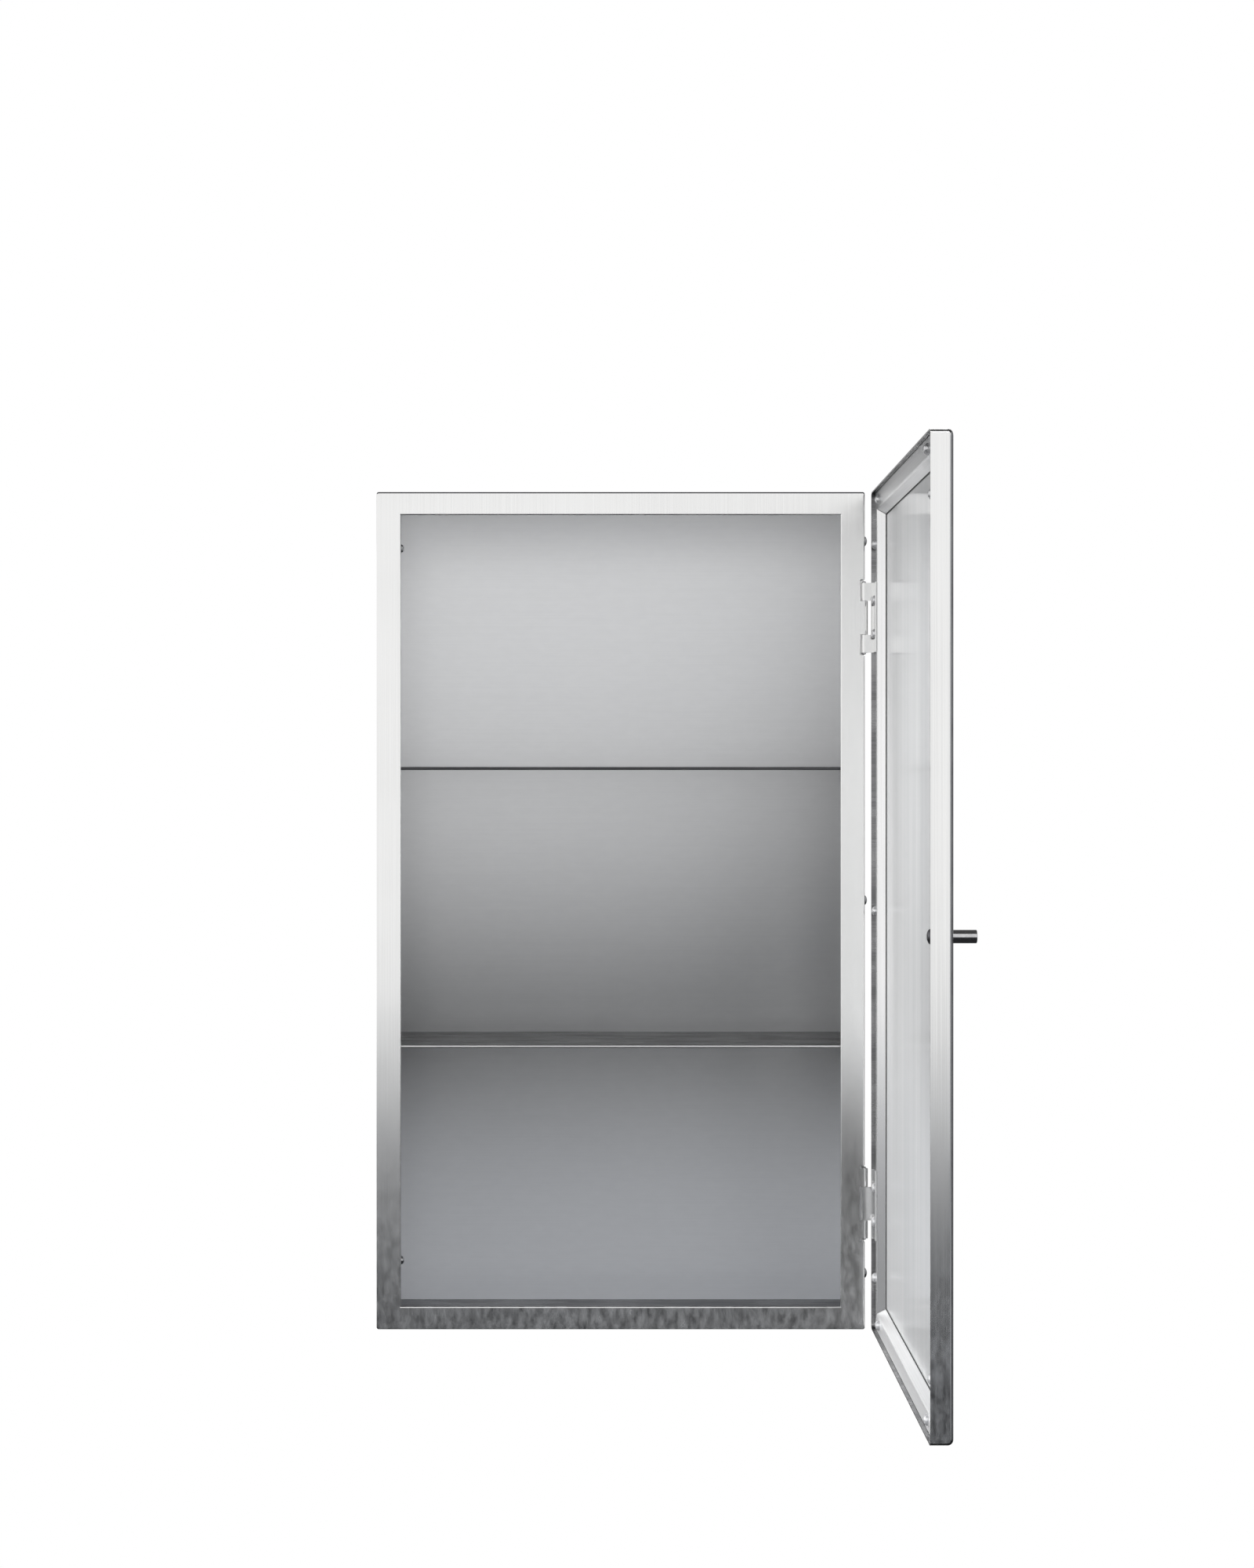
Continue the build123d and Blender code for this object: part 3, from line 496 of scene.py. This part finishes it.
def domed_outline(points, facing, rise):
    """Axis and outline of a fastener along X, with a round dome, raised by the rise, where it faces."""
    middle = (points.min(axis=0) + points.max(axis=0)) / 2
    distance = np.hypot(points[:, 1] - middle[1], points[:, 2] - middle[2])
    along = facing * points[:, 0]
    radius = distance.max()
    seat = along[distance > radius - RING_TOLERANCE].max()
    foot = along.min()
    shank = distance[along < foot + RING_TOLERANCE].max()
    crown = along.max() + rise
    collar = seat + DOME_COLLAR * (crown - seat)
    outline = [(0.0, foot), (shank, foot), (shank, seat), (radius, seat)]
    for step in range(DOME_STEPS + 1):
        angle = step / DOME_STEPS * math.pi / 2
        outline.append((radius * math.cos(angle), collar + (crown - collar) * math.sin(angle)))
    return middle, outline


def add_turned(mesh, middle, outline, facing):
    """Turns an outline of (radius, distance) pairs about a line along X."""
    rings = []
    for radius, along in outline:
        ring = []
        for side in range(TURNED_SIDES):
            angle = 2 * math.pi * side / TURNED_SIDES
            y = middle[1] + radius * math.cos(angle)
            z = middle[2] + radius * math.sin(angle)
            ring.append(mesh.verts.new((facing * along, y, z)))
        rings.append(ring)
    for ring, after in zip(rings, rings[1:]):
        for side in range(TURNED_SIDES):
            following = (side + 1) % TURNED_SIDES
            mesh.faces.new((ring[side], ring[following], after[following], after[side]))


def turn_fasteners(name, body, facing, material=screw_steel, rise=0.0):
    """Round fasteners with smooth domes in place of a node's flat-sided ones."""
    mesh = bmesh.new()
    for points in loose_pieces(name):
        add_turned(mesh, *domed_outline(points, facing, rise), facing)
    bmesh.ops.remove_doubles(mesh, verts=mesh.verts, dist=WELD)
    bmesh.ops.recalc_face_normals(mesh, faces=mesh.faces)
    data = bpy.data.meshes.new(f"{name}_turned")
    mesh.to_mesh(data)
    mesh.free()
    for face in data.polygons:
        face.use_smooth = True
    data.materials.append(material)
    piece = bpy.data.objects.new(f"{name}_turned", data)
    bpy.context.scene.collection.objects.link(piece)
    split = piece.modifiers.new("sharp_edges", "EDGE_SPLIT")
    split.split_angle = SMOOTH_LIMIT
    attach(piece, body)
    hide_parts(name)


for name in ("retainer_screws", "hinge_screws"):
    turn_fasteners(name, "door", -1)
turn_fasteners("knob_screw", "door", -1, dark_screw)
turn_fasteners("stiffener_rivets", "cabinet", 1, polished, RIVET_RISE)


def rectangle(first_span, second_span):
    """The corners of a rectangle in turn, each as a pair."""
    (left, right), (low, high) = first_span, second_span
    return [(left, low), (right, low), (right, high), (left, high)]


def upright_corners(y, x_span, z_span):
    """The corners of an upright card across Y."""
    return [(x, y, z) for x, z in rectangle(x_span, z_span)]


def level_corners(z, x_span, y_span):
    """The corners of a level card."""
    return [(x, y, z) for x, y in rectangle(x_span, y_span)]


def side_corners(x, y_span, z_span):
    """The corners of an upright card across X."""
    return [(x, y, z) for y, z in rectangle(y_span, z_span)]


def stage_card(name, corners, material, hidden_from=()):
    """A flat piece of the studio, given by its corners and by the rays that pass it by."""
    mesh = bpy.data.meshes.new(name)
    mesh.from_pydata(corners, [], [tuple(range(len(corners)))])
    mesh.materials.append(material)
    card = bpy.data.objects.new(name, mesh)
    bpy.context.scene.collection.objects.link(card)
    for ray in hidden_from:
        setattr(card, f"visible_{ray}", False)


def reflected_card(name, corners, material):
    """A card that shows in reflections alone."""
    stage_card(name, corners, material, ("camera", "diffuse", "shadow", "transmission"))


def glow_material(name):
    """A glow that its share can make clear, with the sockets of its colour and share."""
    material, tree, surface = new_material(name)
    emission = tree.nodes.new("ShaderNodeEmission")
    clear = tree.nodes.new("ShaderNodeBsdfTransparent")
    mix = tree.nodes.new("ShaderNodeMixShader")
    mix.inputs["Fac"].default_value = 1.0
    tree.links.new(clear.outputs["BSDF"], mix.inputs[1])
    tree.links.new(emission.outputs["Emission"], mix.inputs[2])
    tree.links.new(mix.outputs["Shader"], surface)
    return material, tree, emission.inputs["Color"], mix.inputs["Fac"]


def ramp(tree, value, span, stops, tints):
    """A smooth run of grey levels along a value, tinted where dark: stops are (value, level) pairs."""
    levels = tree.nodes.new("ShaderNodeValToRGB")
    levels.color_ramp.interpolation = "EASE"
    elements = levels.color_ramp.elements
    while len(elements) < len(stops):
        elements.new(1.0)
    for element, (place, level) in zip(elements, stops):
        element.position = (place - span[0]) / (span[1] - span[0])
        element.color = (*(level * (1 + (tint - 1) * (1 - level)) for tint in tints), 1.0)
    tree.links.new(remap(tree, value, span, RISING), levels.inputs["Fac"])
    return levels.outputs["Color"]


def grey_card(name, corners, level):
    """A card of one grey."""
    material, _, colour, _ = glow_material(name)
    colour.default_value = (level, level, level, 1.0)
    reflected_card(name, corners, material)


def shaded_card(name, corners, span, levels):
    """A card whose grey changes with the height."""
    material, tree, colour, _ = glow_material(name)
    _, place = coordinate(tree)
    tree.links.new(ramp(tree, place["Z"], span, levels, COOL), colour)
    reflected_card(name, corners, material)


def one_sided_card(name, corners, level, fade):
    """A grey card across X that shows only from the left and fades away between two heights."""
    material, tree, colour, share = glow_material(name)
    colour.default_value = (level, level, level, 1.0)
    geometry = tree.nodes.new("ShaderNodeNewGeometry")
    seen_share = calculated(tree, "MULTIPLY", geometry.outputs["Backfacing"], fading_up(tree, fade))
    tree.links.new(seen_share, share)
    reflected_card(name, corners, material)


def dark_ground():
    """A dark ground that fades to white far away."""
    material, tree, colour, _ = glow_material("dark_ground")
    place, _ = coordinate(tree)
    length = tree.nodes.new("ShaderNodeVectorMath")
    length.operation = "LENGTH"
    tree.links.new(place, length.inputs[0])
    tree.links.new(ramp(tree, length.outputs["Value"], (0.0, GROUND_REACH), GROUND_LEVELS, COOL), colour)
    span = (-GROUND_REACH, GROUND_REACH)
    reflected_card("dark_ground", level_corners(GROUND_HEIGHT, span, span), material)


def flag(name, x_span, z_span):
    """A card near the lamps at the eye that softly shades a part of the back panel; only shadows show it."""
    corners = [Vector(corner) for corner in upright_corners(PANEL_PLACE, x_span, z_span)]
    eye = Vector(EYE)
    near_corners = [eye + FLAG_SHARE * (corner - eye) for corner in corners]
    material, _, _, _ = glow_material(name)
    stage_card(name, near_corners, material, ("camera", "diffuse", "glossy", "transmission"))


def floor_lamp():
    """A wide lamp that shines down on the floor alone."""
    lamp = bpy.data.lights.new("floor_lamp", "AREA")
    lamp.shape = "SQUARE"
    lamp.size = FLOOR_LAMP_SIZE
    lamp.energy = FLOOR_LAMP_POWER
    holder = bpy.data.objects.new("floor_lamp", lamp)
    holder.location = (0.0, 0.0, FLOOR_LAMP_HEIGHT)
    holder.visible_camera = False
    holder.visible_glossy = False
    bpy.context.scene.collection.objects.link(holder)


def spot_light(name, place, target, cone, power, wide=1.0, colour=WHITE[:3]):
    """A soft spot, perhaps wide, for what scatters light; bare steel takes its light from the cards."""
    lamp = bpy.data.lights.new(name, "SPOT")
    lamp.spot_size = math.radians(cone)
    lamp.spot_blend = 1.0
    lamp.shadow_soft_size = LAMP_RADIUS
    lamp.energy = power
    lamp.color = colour
    holder = bpy.data.objects.new(name, lamp)
    holder.location = place
    holder.rotation_mode = "QUATERNION"
    holder.rotation_quaternion = (Vector(target) - Vector(place)).to_track_quat("-Z", "Y")
    holder.scale = (wide, 1.0, 1.0)
    holder.visible_glossy = False
    bpy.context.scene.collection.objects.link(holder)


# The studio
floor_material = plain("floor", FLOOR, roughness=(0.6, 0.7), spots=5.0)
stage_card("floor", level_corners(FLOOR_HEIGHT, FLOOR_SPAN, FLOOR_SPAN), floor_material)
dark_ground()
floor_lamp()
shaded_card("shaded_right", side_corners(**SHADED_CARD), SHADED_SPAN, SHADED_LEVELS)
grey_card("dark_above", level_corners(**ABOVE_CARD), ABOVE_LEVEL)
grey_card("wall_above", upright_corners(**WALL_CARD), WALL_LEVEL)
grey_card("dark_behind", upright_corners(**BEHIND_CARD), BEHIND_LEVEL)
one_sided_card("dark_beside", side_corners(**BESIDE_CARD), BESIDE_LEVEL, BESIDE_FADE)
for name, spans in FLAGS.items():
    flag(name, **spans)
for name, settings in SPOTS.items():
    spot_light(name, **settings)

# A background that is white for the camera and in reflections, and a weak light for all else
world = bpy.data.worlds.new("studio")
bpy.context.scene.world = world
world.use_nodes = True
world_tree = world.node_tree
world_tree.nodes.clear()
world_output = world_tree.nodes.new("ShaderNodeOutputWorld")
ambient = world_tree.nodes.new("ShaderNodeBackground")
ambient.inputs["Color"].default_value = (*COOL, 1.0)
ambient.inputs["Strength"].default_value = AMBIENT_STRENGTH
shown = world_tree.nodes.new("ShaderNodeBackground")
shown.inputs["Color"].default_value = WHITE
shown.inputs["Strength"].default_value = 1.0
path = world_tree.nodes.new("ShaderNodeLightPath")
seen = path.outputs["Is Camera Ray"]
for ray in ("Is Glossy Ray", "Is Transmission Ray"):
    seen = calculated(world_tree, "MAXIMUM", seen, path.outputs[ray])
mix = world_tree.nodes.new("ShaderNodeMixShader")
world_tree.links.new(seen, mix.inputs["Fac"])
world_tree.links.new(ambient.outputs["Background"], mix.inputs[1])
world_tree.links.new(shown.outputs["Background"], mix.inputs[2])
world_tree.links.new(mix.outputs["Shader"], world_output.inputs["Surface"])

# The photograph's camera
camera_data = bpy.data.cameras.new("camera")
camera_data.sensor_width = SENSOR
camera_data.lens = FOCAL_PIXELS * SENSOR / IMAGE_LONG_SIDE
camera_data.shift_x = CENTRE_RIGHT_OF_AXIS / IMAGE_LONG_SIDE
camera_data.shift_y = CENTRE_ABOVE_AXIS / IMAGE_LONG_SIDE
camera_data.dof.use_dof = False
camera = bpy.data.objects.new("camera", camera_data)
camera.location = CAMERA_PLACE
camera.rotation_euler = (math.pi / 2, 0, 0)
bpy.context.scene.collection.objects.link(camera)
bpy.context.scene.camera = camera
bpy.context.scene.view_settings.view_transform = "Standard"
